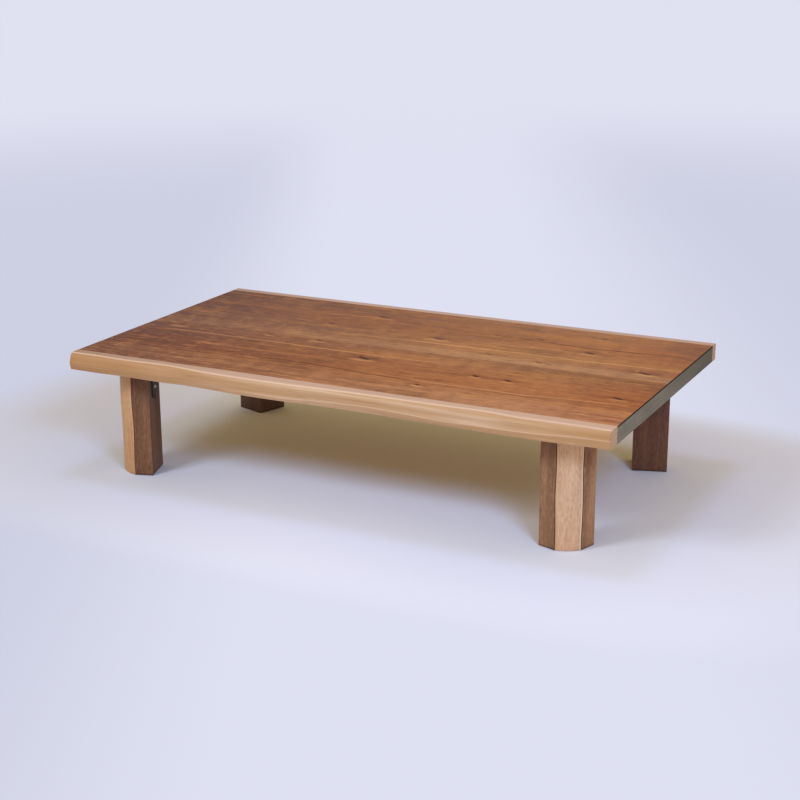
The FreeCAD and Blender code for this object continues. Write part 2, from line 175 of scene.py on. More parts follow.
def piece(name, bm, finishes, body, slot, *nodes):
    """Makes an object of the finished mesh, gives it its finishes and lets it ride."""
    mesh = bpy.data.meshes.new(name)
    bm.to_mesh(mesh)
    bm.free()
    mesh.shade_smooth()
    mesh.set_sharp_from_angle(angle=crease_angle)
    for finish in finishes:
        mesh.materials.append(finish)
    made = bpy.data.objects.new(name, mesh)
    bpy.context.scene.collection.objects.link(made)
    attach(made, body)
    if nodes:
        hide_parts(*nodes)


def board(low, high):
    """A squared board between two corners."""
    bm = bmesh.new()
    size = Matrix.Diagonal((*(high - low), 1.0))
    bmesh.ops.create_cube(bm, size=1.0, matrix=Matrix.Translation((low + high) / 2) @ size)
    return bm


def ease(bm, edges, width, rounds, clamped=False):
    """Rubs edges over to a small round."""
    bmesh.ops.bevel(bm, geom=edges, offset=width, offset_type="OFFSET", affect="EDGES",
                    segments=rounds, profile=0.5, material=-1, clamp_overlap=clamped)


# Each knot: its place on the face, its reach along and across the grain, how far it lifts
# the grain aside, and how dark its heart is
knots = [
    (-0.588, -0.025, 0.050, 0.016, 0.018, 0.60),
    (-0.335, -0.012, 0.030, 0.010, -0.010, 0.60),
    (-0.198, -0.010, 0.045, 0.013, 0.014, 0.65),
    (-0.250, 0.145, 0.040, 0.012, 0.012, 0.75),
    (-0.160, 0.262, 0.060, 0.016, -0.018, 0.70),
    (-0.025, -0.105, 0.060, 0.018, 0.022, 0.90),
    (-0.423, -0.135, 0.045, 0.014, -0.012, 0.45),
    (-0.268, -0.200, 0.035, 0.010, 0.010, 0.45),
    (-0.460, -0.175, 0.040, 0.011, 0.010, 0.25),
    (-0.413, -0.275, 0.040, 0.012, 0.012, 0.10),
    (-0.603, 0.185, 0.040, 0.012, -0.010, 0.10),
    (0.057, 0.132, 0.060, 0.016, -0.020, 0.70),
    (0.225, 0.052, 0.035, 0.011, 0.010, 0.50),
    (0.355, 0.037, 0.035, 0.011, -0.010, 0.55),
    (0.435, 0.163, 0.050, 0.014, 0.018, 0.80),
    (0.422, 0.297, 0.035, 0.011, 0.010, 0.65),
    (0.285, 0.227, 0.040, 0.009, -0.008, 0.80),
    (0.172, 0.222, 0.030, 0.009, 0.008, 0.55),
    (0.605, 0.055, 0.055, 0.014, 0.018, 0.90),
    (0.270, -0.128, 0.034, 0.012, 0.009, 1.00),
    (0.350, -0.132, 0.034, 0.012, -0.009, 1.00),
    (0.614, -0.154, 0.045, 0.012, 0.014, 0.90),
    (0.182, -0.245, 0.028, 0.010, -0.010, 0.95),
    (0.140, -0.180, 0.045, 0.012, 0.010, 0.10),
]
# Measured in a knot's reach: the two slopes that make its heart a small slanted oval, and
# the step back to the knot from the pale curl of grain in front of it
heart_across = (0.0, 1.2, 0.0)
heart_along = (2.9, 0.9, 0.0)
back_from_curl = (-0.05, 0.9, 0.0)

# Each streak: its two ends on the face, its half width, and its strength, below 0 if dark
streaks = [
    (-0.660, -0.076, 0.240, -0.058, 0.00420, 0.715),
    (-0.240, 0.066, 0.060, 0.084, 0.00448, 0.455),
    (-0.020, 0.083, 0.672, 0.096, 0.00448, 0.975),
    (-0.310, 0.236, -0.150, 0.242, 0.00420, 0.650),
    (0.160, 0.144, 0.430, 0.158, 0.00420, 0.520),
    (0.130, -0.212, 0.450, -0.218, 0.00490, 0.715),
    (0.400, -0.216, 0.672, -0.186, 0.00490, 0.715),
    (-0.520, -0.150, 0.100, -0.135, 0.00560, 0.325),
    (-0.120, 0.240, 0.240, 0.219, 0.00560, -0.585),
    (0.220, 0.220, 0.440, 0.200, 0.00630, -0.780),
    (0.420, 0.199, 0.672, 0.230, 0.00630, -0.780),
    (-0.660, -0.196, -0.300, -0.186, 0.00700, -0.650),
    (-0.320, -0.188, 0.200, -0.222, 0.00630, -0.650),
    (0.180, -0.226, 0.500, -0.226, 0.00560, -0.390),
]
pale_streak = paint(212, 158, 108)
dark_streak = paint(90, 50, 26)

# How far the grain wanders aside along a leaf
wander_reach = 0.05

# The tint across the table: a place from front to back, then shares of red, green and blue
leaf_shares = [
    (0.00, 1.00, 1.02, 1.14),
    (0.07, 1.00, 1.02, 1.12),
    (0.20, 0.90, 0.77, 0.63),
    (0.33, 0.89, 0.79, 0.66),
    (0.44, 0.95, 0.91, 0.82),
    (0.54, 1.00, 1.01, 0.94),
    (0.65, 1.00, 0.98, 0.78),
    (0.78, 0.93, 0.79, 0.49),
    (1.00, 0.94, 0.88, 0.64),
]


def walnut_face():
    material, tree, shader, point = new_finish("walnut_face")
    x, y, _ = apart(tree, point)
    flat_point = together(tree, x, y, 0.0)

    # The grain wanders a little along the leaf, and runs round every knot
    wander = noise(tree, flat_point, (1.3, 3.5, 0.0))
    lie = number(tree, "MULTIPLY_ADD", wander, wander_reach, y)
    heart = 0.0
    halo = 0.0
    curl = 0.0
    for knot_x, knot_y, length, width, lift, dark in knots:
        offset = vector(tree, "SUBTRACT", flat_point, (knot_x, knot_y, 0.0))
        offset = vector(tree, "MULTIPLY", offset, (1 / length, 1 / width, 0.0))
        squared = vector(tree, "DOT_PRODUCT", offset, offset)
        swell = number(tree, "EXPONENT", number(tree, "MULTIPLY", squared, -1.0))
        lie = number(tree, "MULTIPLY_ADD", swell, lift, lie)
        halo = number(tree, "MULTIPLY_ADD", swell, dark, halo)
        slanted = vector(tree, "DOT_PRODUCT", offset, heart_across)
        upright = vector(tree, "DOT_PRODUCT", offset, heart_along)
        pin = number(tree, "ADD", number(tree, "MULTIPLY", slanted, slanted),
                     number(tree, "MULTIPLY", upright, upright))
        heart = number(tree, "MAXIMUM", heart, between(tree, pin, 0.10, 0.75, dark, 0.0))
        beside = vector(tree, "ADD", offset, back_from_curl)
        beside = vector(tree, "DOT_PRODUCT", beside, beside)
        curl_share = 0.2 + 0.45 * dark
        curl = number(tree, "MAXIMUM", curl, between(tree, beside, 0.0, 0.55, curl_share, 0.0))

    # From broad figure down to pores, all drawn out along the grain
    grain = together(tree, x, lie, 0.0)
    cloud = noise(tree, grain, (3.5, 11.0, 0.0), 3.0, 0.6)
    figure = noise(tree, grain, (0.9, 26.0, 0.0), 3.0, 0.55)
    lines = noise(tree, grain, (2.2, 150.0, 0.0), 3.0, 0.6)
    flecks = noise(tree, grain, (22.0, 150.0, 0.0), 4.0, 0.7)
    dashes = noise(tree, together(tree, x, lie, 3.0), (30.0, 210.0, 1.0), 3.0, 0.7)
    pores = noise(tree, grain, (26.0, 1400.0, 0.0))
    shimmer = noise(tree, together(tree, x, lie, 1.0), (26.0, 7.0, 1.0), 2.0, 0.6)

    # Warmer and lighter towards the right end, with soft clouds and a cross shimmer
    along = between(tree, x, -half_table, half_table, smooth=False)
    colour = tones(tree, along,
                   (0.00, paint(85, 36, 19)), (0.09, paint(101, 53, 32)),
                   (0.17, paint(121, 71, 46)), (0.40, paint(145, 91, 57)),
                   (0.62, paint(167, 112, 73)), (0.83, paint(175, 119, 81)),
                   (1.00, paint(164, 100, 63)))
    pale_share = between(tree, x, -0.6, -0.15, 0.3, 0.68)
    colour = stained(tree, colour,
                     (cloud, 0.28, 0.48, 0.68, 0.0, paint(110, 68, 38)),
                     (cloud, 0.52, 0.72, 0.0, pale_share, paint(192, 132, 78)))
    front_left = number(tree, "MULTIPLY", between(tree, x, -0.6, -0.15, 0.4, 0.0),
                        between(tree, y, -0.32, -0.06, 1.0, 0.0))
    colour = mixed(tree, front_left, colour, paint(92, 46, 26))
    colour = stained(tree, colour,
                     (shimmer, 0.3, 0.5, 0.2, 0.0, paint(104, 64, 40)),
                     (shimmer, 0.5, 0.7, 0.0, 0.2, paint(196, 138, 86)),
                     (figure, 0.48, 0.75, 0.0, 0.32, paint(192, 132, 82)),
                     (figure, 0.25, 0.48, 0.38, 0.0, paint(96, 56, 34)))

    # A pale band behind the middle joint, and the darker leaf that meets it
    sapwood = number(tree, "MULTIPLY", between(tree, y, 0.0, 0.004),
                     between(tree, y, 0.030, 0.060, 1.0, 0.0))
    sapwood = number(tree, "MULTIPLY", sapwood, between(tree, x, -0.5, 0.3, 0.12, 0.5))
    colour = mixed(tree, sapwood, colour, paint(186, 142, 108))
    shade = number(tree, "MULTIPLY", between(tree, y, -0.002, 0.0, 1.0, 0.0),
                   between(tree, y, -0.09, -0.02, 0.0, 1.0))
    shade = number(tree, "MULTIPLY", shade, between(tree, x, 0.22, 0.36, 0.05, 0.45))
    colour = mixed(tree, shade, colour, paint(108, 68, 44))

    colour = stained(tree, colour,
                     (lines, 0.5, 0.7, 0.0, 0.42, paint(204, 148, 94)),
                     (lines, 0.3, 0.48, 0.5, 0.0, paint(94, 56, 27)),
                     (flecks, 0.28, 0.47, 0.62, 0.0, paint(86, 50, 22)),
                     (flecks, 0.53, 0.72, 0.0, 0.52, paint(210, 154, 96)),
                     (dashes, 0.28, 0.46, 0.6, 0.0, paint(92, 54, 25)),
                     (dashes, 0.54, 0.72, 0.0, 0.45, paint(208, 152, 94)))

    for start_x, start_y, end_x, end_y, half_width, strength in streaks:
        run = between(tree, x, start_x, end_x, smooth=False)
        line_y = number(tree, "MULTIPLY_ADD", run, end_y - start_y, start_y + wander_reach / 2)
        aside = number(tree, "ABSOLUTE", number(tree, "SUBTRACT", lie, line_y))
        body = between(tree, aside, 0.0, half_width, abs(strength), 0.0)
        from_middle = number(tree, "ABSOLUTE", number(tree, "SUBTRACT", run, 0.5))
        share = number(tree, "MULTIPLY", body, between(tree, from_middle, 0.38, 0.5, 1.0, 0.0))
        colour = mixed(tree, share, colour, pale_streak if strength > 0 else dark_streak)

    # The knots, the pores and the fine joint between the two leaves
    colour = mixed(tree, number(tree, "MULTIPLY", halo, 0.62), colour, paint(112, 58, 32))
    colour = mixed(tree, curl, colour, paint(212, 156, 102))
    colour = mixed(tree, heart, colour, paint(76, 30, 10))
    off_joint = number(tree, "ABSOLUTE", y)
    colour = stained(tree, colour,
                     (pores, 0.56, 0.7, 0.0, 0.35, paint(86, 52, 25)),
                     (off_joint, 0.0002, 0.0006, 0.6, 0.0, paint(70, 40, 28)))
    across = between(tree, y, panel_low.y, panel_high.y, smooth=False)
    tints = [(place, (*shares, 1.0)) for place, *shares in leaf_shares]
    colour = mixed(tree, 1.0, colour, tones(tree, across, *tints), "MULTIPLY")
    coat(tree, shader, colour, between(tree, lines, 0.3, 0.7, 0.46, 0.56), gloss=0.06)
    closed = number(tree, "SUBTRACT", 1.0, between(tree, pores, 0.55, 0.7))
    relief(tree, shader, closed, depth=0.00006)
    return material


def sheet_edge():
    material, tree, shader, point = new_finish("face_sheet_edge")
    layers = noise(tree, point, (4.0, 4.0, 900.0))
    colour = tones(tree, layers, (0.3, paint(24, 12, 9)), (0.7, paint(44, 23, 17)))
    coat(tree, shader, colour, roughness=0.7, gloss=0.1)
    return material


bm = board(panel_low, panel_high)
for side in bm.faces:
    side.material_index = 0 if abs(side.normal.z) > 0.5 else 1
upper = [edge for edge in bm.edges if all(v.co.z > panel_high.z - face_ease for v in edge.verts)]
ease(bm, upper, face_ease, rounds=2)
piece("walnut_face", bm, [walnut_face(), sheet_edge()], "table_top", "walnut_veneer", "face_panel")


# Waved front strip
# Solid light-coloured wood, shaped by hand so that its face waves along the table,
# then sanded round and lacquered; it is glued to the core on a loose tongue.

strip_width = 0.050
strip_inside = panel_low.y
strip_top = panel_high.z
strip_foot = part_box("front_edge_strip")[0].z
strip_thickness = strip_top - strip_foot
arris_round = 0.0040
foot_round = 0.0020
end_round = 0.0040

# Place along the table, then the strip's width at the arris, the nose and the foot,
# the height of the nose, and how round the nose is, all as shares
wave_shares = [
    (-0.500, 0.50, 0.79, 0.71, 0.38, 1.0),
    (-0.445, 0.49, 0.79, 0.72, 0.39, 1.0),
    (-0.395, 0.53, 0.74, 0.67, 0.40, 1.0),
    (-0.351, 0.50, 0.77, 0.70, 0.40, 1.0),
    (-0.308, 0.45, 0.78, 0.71, 0.40, 1.0),
    (-0.265, 0.52, 0.72, 0.65, 0.38, 1.0),
    (-0.222, 0.66, 0.76, 0.69, 0.34, 0.9),
    (-0.148, 0.72, 0.87, 0.82, 0.27, 0.6),
    (-0.070, 0.70, 0.87, 0.82, 0.22, 0.3),
    (0.000, 0.63, 0.77, 0.71, 0.29, 0.2),
    (0.074, 0.56, 0.78, 0.71, 0.38, 0.2),
    (0.148, 0.54, 0.85, 0.80, 0.35, 0.2),
    (0.216, 0.53, 0.92, 0.87, 0.28, 0.2),
    (0.283, 0.48, 0.96, 0.92, 0.31, 0.2),
    (0.350, 0.63, 0.99, 0.95, 0.34, 0.2),
    (0.395, 0.61, 1.00, 0.96, 0.40, 0.2),
    (0.450, 0.60, 0.88, 0.83, 0.46, 0.3),
    (0.500, 0.64, 0.83, 0.78, 0.46, 0.4),
]
nose_round = 0.0100
nose_least = 0.0010
face_swell = 0.0035

# Steps between two rows of the table, down the face, and round the corners of the section
steps_between = 7
face_steps = 8
round_steps = 6
foot_steps = 3
# Brings the curve of the swell, highest a third of the way down the face, to a height of 1
swell_scale = 6.75

# Going round the section, how strongly each point gets a painted highlight, or below 0 how much painted
# shade it gets
arris_light_shares = [0.0, 0.4, 0.9, 1.0, 0.9, 0.4, 0.0]
face_light_shares = [0.0, -0.1, -0.4, -0.7, -0.6]
nose_light_shares = [0.0, 0.1, 0.6, 0.7, 0.3, 0.0, 0.0]
foot_light_shares = [0.0, 0.2, 0.6, 0.4]


def smooth_row(rows, position):
    """The row at a place along the table, on one smooth curve through all the rows."""
    last = len(rows) - 1
    low = max(index for index in range(last) if rows[index][0] <= position + 1e-9)
    share = (position - rows[low][0]) / (rows[low + 1][0] - rows[low][0])
    before, start, end, after = (rows[min(max(low + k, 0), last)] for k in (-1, 0, 1, 2))
    values = []
    for a, b, c, d in zip(before, start, end, after):
        pull = (2 * b) + (c - a) * share + (2 * a - 5 * b + 4 * c - d) * share ** 2
        values.append(0.5 * (pull + (3 * b - a - 3 * c + d) * share ** 3))
    return values


def rounded(before, corner, after, radius, count):
    """Points of a round corner: a curve from one side to the other, within both sides."""
    most_of_side = 0.48
    reach_in = min(radius, (before - corner).length * most_of_side)
    reach_out = min(radius, (after - corner).length * most_of_side)
    start = corner + (before - corner).normalized() * reach_in
    end = corner + (after - corner).normalized() * reach_out
    points = []
    for step in range(count + 1):
        t = step / count
        points.append(start * (1 - t) ** 2 + corner * 2 * t * (1 - t) + end * t ** 2)
    return points


def strip_section(position):
    """The strip's outline at one place, and the painted highlight or painted shade at each point of it.
    """
    _, arris_share, nose_share, foot_share, height_share, roundness = smooth_row(wave_shares, position)
    inner_top = Vector((strip_inside, strip_top))
    arris = Vector((strip_inside - arris_share * strip_width, strip_top))
    nose_height = strip_foot + height_share * strip_thickness
    nose = Vector((strip_inside - nose_share * strip_width, nose_height))
    foot = Vector((strip_inside - foot_share * strip_width, strip_foot))
    inner_foot = Vector((strip_inside, strip_foot))
    chord = nose - arris
    outward = Vector((chord.y, -chord.x)).normalized()
    face = []
    for step in range(1, face_steps):
        t = step / face_steps
        face.append(arris + chord * t + outward * face_swell * swell_scale * t * (1 - t) ** 2)
    outline = [inner_top]
    outline += rounded(inner_top, arris, face[1], arris_round, round_steps)
    outline += face[1:-1]
    outline += rounded(face[-2], nose, foot, nose_least + nose_round * roundness, round_steps)
    outline += rounded(nose, foot, inner_foot, foot_round, foot_steps)
    outline.append(inner_foot)
    ridge = max(0.0, 1.0 - 1.3 * roundness)
    light = [0.0, *arris_light_shares]
    light += [share * ridge for share in face_light_shares + nose_light_shares]
    light += [*foot_light_shares, 0.0]
    return outline, light


def end_pull(distance):
    """How far a rounded end has drawn in, at a distance from the strip's end."""
    if distance >= end_round:
        return 0.0
    return end_round - math.sqrt(end_round ** 2 - (end_round - distance) ** 2)


end_shares = [0.0, 0.15, 0.35, 0.65, 1.0]
stations = [-half_table + end_round * share for share in end_shares]
count = steps_between * (len(wave_shares) - 1)
stations += [-half_table + 2 * half_table * step / count for step in range(1, count)]
stations += [half_table - end_round * share for share in reversed(end_shares)]

# One section after another is drawn out of the last, and set to its own outline
bm = bmesh.new()
painted_light = bm.verts.layers.float.new("painted_light")
ring = []
for station in stations:
    pull = end_pull(half_table - abs(station))
    points = []
    outline, light = strip_section(station / (2 * half_table))
    for y, z in outline:
        outreach = min(1.0, (strip_inside - y) / (strip_width / 2))
        points.append(Vector((station, y + pull * outreach, z)))
    if not ring:
        ring = [bm.verts.new(point) for point in points]
        loop = [bm.edges.new((ring[k], ring[(k + 1) % len(ring)])) for k in range(len(ring))]
        caps = [bm.faces.new(ring)]
        for vert, share in zip(ring, light):
            vert[painted_light] = share
        continue
    grown = bmesh.ops.extrude_edge_only(bm, edges=loop)["geom"]
    moved = [item for item in grown if isinstance(item, bmesh.types.BMVert)]
    loop = [item for item in grown if isinstance(item, bmesh.types.BMEdge)]
    old_places = {tuple(vert.co): index for index, vert in enumerate(ring)}
    ordered = [None] * len(ring)
    for vert in moved:
        ordered[old_places[tuple(vert.co)]] = vert
    for vert, point, share in zip(ordered, points, light):
        vert.co = point
        vert[painted_light] = share
    ring = ordered
caps.append(bm.faces.new(ring))
for cap in caps:
    cap.material_index = 1
bmesh.ops.recalc_face_normals(bm, faces=bm.faces)


def settle(items, place):
    """Puts points, edges or faces in one fixed order, because drawing out leaves them in any."""
    for index, item in enumerate(sorted(items, key=lambda item: tuple(place(item)))):
        item.index = index
    items.sort()


settle(bm.verts, lambda vert: vert.co)
settle(bm.edges, lambda edge: edge.verts[0].co + edge.verts[1].co)
settle(bm.faces, lambda face: face.calc_center_median())


def light_wood(name, ground, pale, dark, along, slow, turn=(0, 1, 2), painted_highlight_tone=None, ticks=0.0):
    """Light edge wood: soft long grain, ochre drifts, short ticks, satin lacquer. The ground
    tones run from -along to along, the grain lies on the first axis of turn, and slow is how
    many times a metre it changes."""
    material, tree, shader, point = new_finish(name)
    axes = apart(tree, point)
    run, side, rise = (axes[k] for k in turn)
    grain_point = together(tree, run, side, rise)
    drift = noise(tree, grain_point, (slow, 9.0, 9.0))
    wander = noise(tree, grain_point, (slow * 2, 12.0, 12.0))
    lie = number(tree, "MULTIPLY_ADD", wander, 0.02, side)
    grain = together(tree, run, lie, rise)
    lines = noise(tree, grain, (slow * 2.5, 170.0, 170.0), 3.0, 0.6)
    flecks = noise(tree, grain, (14.0, 420.0, 420.0), 2.0, 0.6)
    pores = noise(tree, grain_point, (40.0, 1500.0, 1500.0))
    run_place = between(tree, run, -along, along, smooth=False)
    colour = stained(tree, tones(tree, run_place, *ground),
                     (drift, 0.5, 0.75, 0.0, 0.5, pale),
                     (drift, 0.25, 0.5, 0.45, 0.0, dark),
                     (lines, 0.52, 0.7, 0.0, 0.45, dark),
                     (lines, 0.3, 0.46, 0.35, 0.0, pale),
                     (flecks, 0.54, 0.7, 0.0, 0.25, dark),
                     (pores, 0.58, 0.72, 0.0, 0.2, dark))
    if ticks:
        short = noise(tree, grain_point, (90.0, 330.0, 330.0), 2.0, 0.6)
        colour = stained(tree, colour,
                         (short, 0.3, 0.5, ticks, 0.0, dark),
                         (short, 0.5, 0.7, 0.0, ticks, pale))
    # Painted light: the attribute lifts the arris, the nose and the foot towards a painted highlight
    # tone, and below 0 darkens the lower face with painted shade
    if painted_highlight_tone:
        edge = tree.nodes.new("ShaderNodeAttribute")
        edge.attribute_name = "painted_light"
        share = edge.outputs["Fac"]
        # Painted reflection: the strip's flat top is tinted pinker and paler as a painted sheen, darker
        # towards the left end
        flat_top = between(tree, axes[2], strip_top - 0.0006, strip_top - 0.0002, 0.0, 0.4)
        painted_sheen_tone = tones(tree, run_place,
                          (0.00, paint(134, 92, 72)), (0.12, paint(160, 120, 98)),
                          (0.30, paint(196, 158, 138)), (1.00, paint(204, 166, 144)))
        colour = mixed(tree, flat_top, colour, painted_sheen_tone)
        colour = mixed(tree, number(tree, "MULTIPLY", share, 0.6), colour, painted_highlight_tone)
        colour = mixed(tree, number(tree, "MULTIPLY", share, -0.45), colour, paint(150, 108, 70))
    coat(tree, shader, colour, between(tree, lines, 0.3, 0.7, 0.36, 0.44), gloss=0.35)
    relief(tree, shader, number(tree, "SUBTRACT", 1.0, pores), depth=0.00005)
    return material


strip_ground = [(0.00, paint(169, 123, 79)), (0.50, paint(183, 143, 106)),
                (0.75, paint(176, 134, 94)), (1.00, paint(180, 134, 88))]
strip_wood = light_wood("front_strip_wood", strip_ground, paint(208, 168, 130), paint(160, 114, 68),
                        along=half_table, slow=1.0, painted_highlight_tone=paint(238, 206, 184))


def strip_end_grain():
    """Growth rings round a heart at the strip's inner side, one thickness below its foot."""
    material, tree, shader, point = new_finish("strip_end_grain")
    _, y, z = apart(tree, point)
    wander = noise(tree, point, (0.0, 30.0, 30.0))
    outwards = number(tree, "SUBTRACT", number(tree, "ABSOLUTE", y), -strip_inside)
    upwards = number(tree, "SUBTRACT", z, strip_foot - strip_thickness)
    away = vector(tree, "LENGTH", together(tree, 0.0, outwards, upwards))
    ring_point = together(tree, number(tree, "MULTIPLY_ADD", wander, 0.006, away), 0.0, 0.0)
    rings = noise(tree, ring_point, (420.0, 0.0, 0.0), 1.0)
    pores = noise(tree, point, (0.0, 2200.0, 2200.0))
    colour = tones(tree, rings, (0.35, paint(164, 122, 84)), (0.65, paint(200, 162, 124)))
    colour = stained(tree, colour, (pores, 0.55, 0.7, 0.0, 0.35, paint(124, 88, 58)))
    coat(tree, shader, colour, roughness=0.55)
    relief(tree, shader, number(tree, "SUBTRACT", 1.0, pores), depth=0.00008)
    return material


end_grain = strip_end_grain()
piece("waved_front_strip", bm, [strip_wood, end_grain], "table_top", "light_edge_wood",
      "front_edge_strip")


# Back strip
# The plain strip along the back, of the same light wood, with its outer edges
# rounded over; glued to the core on its own tongue.

strip_low, strip_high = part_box("back_edge_strip")
back_round = 0.0030

bm = board(strip_low, strip_high)
for side in bm.faces:
    side.material_index = 1 if abs(side.normal.x) > 0.5 else 0
outer = [edge for edge in bm.edges
         if all(vert.co.y > strip_high.y - back_round for vert in edge.verts)
         and abs(edge.verts[0].co.x - edge.verts[1].co.x) > half_table]
ease(bm, outer, back_round, rounds=6)
piece("back_strip", bm, [strip_wood, end_grain], "table_top", "light_edge_wood", "back_edge_strip")


# End bands
# Grey-brown edge banding glued over the ends of the core, below the walnut face: walnut veneer whose
# grey-brown is painted shade and painted reflection.

band_ease = 0.0003


def end_banding():
    material, tree, shader, point = new_finish("grey_end_banding")
    cloud = noise(tree, point, (3.0, 6.0, 20.0), 3.0)
    lines = noise(tree, point, (3.0, 9.0, 420.0), 3.0, 0.6)
    # Painted shade: the band darkens towards the back of the table
    to_back = apart(tree, point)[1]
    colour = tones(tree, cloud, (0.3, paint(114, 104, 88)), (0.7, paint(136, 126, 108)))
    colour = stained(tree, colour,
                     (lines, 0.4, 0.62, 0.35, 0.0, paint(90, 80, 64)),
                     (to_back, -0.10, panel_high.y, 0.0, 0.9, paint(75, 65, 26)))
    coat(tree, shader, colour, roughness=0.55, gloss=0.2)
    relief(tree, shader, lines, depth=0.00005)
    return material


banding = end_banding()
for side in ("left", "right"):
    node = "end_band_" + side
    bm = board(*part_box(node))
    ease(bm, bm.edges[:], band_ease, rounds=2)
    piece("banding_" + side, bm, [banding], "table_top", "end_banding", node)


# Underside sheet
# Rotary-cut plywood, oiled to a warm tan, that closes the core from below.


def plywood():
    material, tree, shader, point = new_finish("underside_plywood")
    x, y, _ = apart(tree, point)
    wander = noise(tree, point, (1.5, 4.0, 0.0), 3.0)
    lie = number(tree, "MULTIPLY_ADD", wander, 0.12, y)
    figure = noise(tree, together(tree, x, lie, 0.0), (1.2, 30.0, 0.0), 3.0, 0.6)
    pores = noise(tree, together(tree, x, y, 0.0), (60.0, 900.0, 0.0))
    colour = tones(tree, figure, (0.25, paint(166, 118, 66)), (0.5, paint(190, 143, 86)),
                   (0.75, paint(206, 162, 106)))
    colour = stained(tree, colour, (pores, 0.56, 0.72, 0.0, 0.4, paint(120, 80, 44)))
    coat(tree, shader, colour, roughness=0.6)
    relief(tree, shader, pores, depth=0.00008)
    return material


def dress(node, finish):
    """Gives a node of the frame its finish in place of the plain one."""
    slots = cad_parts[node].data.materials
    slots.clear()
    slots.append(finish)


dress("bottom_panel", plywood())


# Core
# Kiln-dried softwood rails, ribs and leg blocks, pinned and glued into a flush frame,
# with plywood tongues in the grooves; all of it is closed in by the sheets and strips.


def softwood():
    material, tree, shader, point = new_finish("core_softwood")
    rings = noise(tree, point, (6.0, 60.0, 60.0))
    colour = tones(tree, rings, (0.3, paint(196, 160, 112)), (0.7, paint(226, 198, 154)))
    coat(tree, shader, colour, roughness=0.75)
    relief(tree, shader, rings, depth=0.0001)
    return material


core_finish = softwood()
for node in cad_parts:
    if node.startswith(("core_", "leg_block_", "front_tongue", "back_tongue")):
        dress(node, core_finish)


# Legs
# A light-wood post stands in a skin of four mitred walnut boards. The outer corner is
# worked off by hand to a bowed facet, so the light post shows between dark edges.

corners = ["front_right", "front_left", "back_right", "back_left"]
leg_height = 0.262
leg_turn = math.radians(18)
facet_reach = math.radians(30)
half_leg = 0.042
board_thickness = 0.002
board_ease = 0.0003
post_ease = 0.0006
upright_turn = (2, 0, 1)
# The right legs' light wood is paler than the left legs', painted light for the stronger light on the
# right, and paler towards its upper end, painted light against the table top's shade
right_ground = [(0.5, paint(205, 158, 123)), (0.7, paint(211, 170, 136)),
                (0.9, paint(217, 176, 140)), (1.0, paint(214, 170, 126))]
left_ground = [(0.5, paint(189, 143, 98)), (0.8, paint(188, 139, 92)), (1.0, paint(181, 128, 78))]
facet_woods = {
    "right": light_wood("right_leg_light_wood", right_ground, paint(226, 190, 158),
                        paint(168, 122, 84), along=leg_height, slow=3.0, turn=upright_turn,
                        ticks=0.38),
    "left": light_wood("left_leg_light_wood", left_ground, paint(206, 164, 120),
                       paint(150, 102, 60), along=leg_height, slow=3.0, turn=upright_turn,
                       ticks=0.4),
}


def walnut_boards(name, depth, green_share, blue_share):
    """Leg walnut: fine upright grain, its browns all lightened and tinted by the same shares."""
    material, tree, shader, point = new_finish(name)

    def brown(red, green, blue):
        return paint(red * depth, green * depth * green_share, blue * depth * blue_share)

    height = apart(tree, point)[2]
    wander = noise(tree, point, (14.0, 14.0, 3.0))
    sway = number(tree, "MULTIPLY", wander, 0.02)
    shifted = vector(tree, "ADD", point, together(tree, sway, sway, 0.0))
    figure = noise(tree, shifted, (34.0, 34.0, 2.5), 3.0, 0.55)
    lines = noise(tree, shifted, (210.0, 210.0, 5.0), 3.0, 0.6)
    flecks = noise(tree, shifted, (380.0, 380.0, 70.0), 3.0, 0.65)
    pores = noise(tree, point, (1500.0, 1500.0, 40.0))
    colour = tones(tree, figure, (0.30, brown(112, 74, 54)), (0.5, brown(128, 87, 64)),
                   (0.70, brown(142, 99, 74)))
    colour = stained(tree, colour,
                     (lines, 0.3, 0.48, 0.32, 0.0, brown(82, 50, 38)),
                     (lines, 0.55, 0.72, 0.0, 0.25, brown(166, 120, 90)),
                     (flecks, 0.3, 0.48, 0.5, 0.0, brown(78, 46, 34)),
                     (flecks, 0.53, 0.7, 0.0, 0.4, brown(176, 130, 98)),
                     (pores, 0.56, 0.7, 0.0, 0.35, brown(58, 34, 26)),
                     # Painted shade: darker towards the top, under the table top, and a dark line at
                     # the foot
                     (height, 0.10, 0.26, 0.0, 0.22, brown(76, 46, 36)),
                     (height, 0.002, 0.006, 0.6, 0.0, brown(50, 30, 24)))
    coat(tree, shader, colour, between(tree, lines, 0.3, 0.7, 0.42, 0.52), gloss=0.25)
    relief(tree, shader, number(tree, "SUBTRACT", 1.0, pores), depth=0.00006)
    return material


def facet_rim():
    """The cut ends of the boards beside the facet: light wood, with a dark outer line, and
    a painted highlight where the boards that face the ends of the table are cut."""
    material, tree, shader, point = new_finish("leg_facet_rim")
    outness, highlight_side = (tree.nodes.new("ShaderNodeAttribute") for _ in range(2))
    outness.attribute_name = "rim"
    highlight_side.attribute_name = "painted_light"
    lines = noise(tree, point, (300.0, 300.0, 6.0), 3.0)
    colour = tones(tree, lines, (0.3, paint(176, 132, 96)), (0.7, paint(206, 166, 130)))
    pale = number(tree, "MULTIPLY", highlight_side.outputs["Fac"],
                  between(tree, outness.outputs["Fac"], 0.05, 0.3, 0.0, 0.8))
    colour = mixed(tree, pale, colour, paint(240, 212, 188))
    colour = stained(tree, colour, (outness.outputs["Fac"], 0.5, 0.75, 0.0, 1.0, paint(62, 36, 26)))
    coat(tree, shader, colour, roughness=0.7, gloss=0.05)
    return material


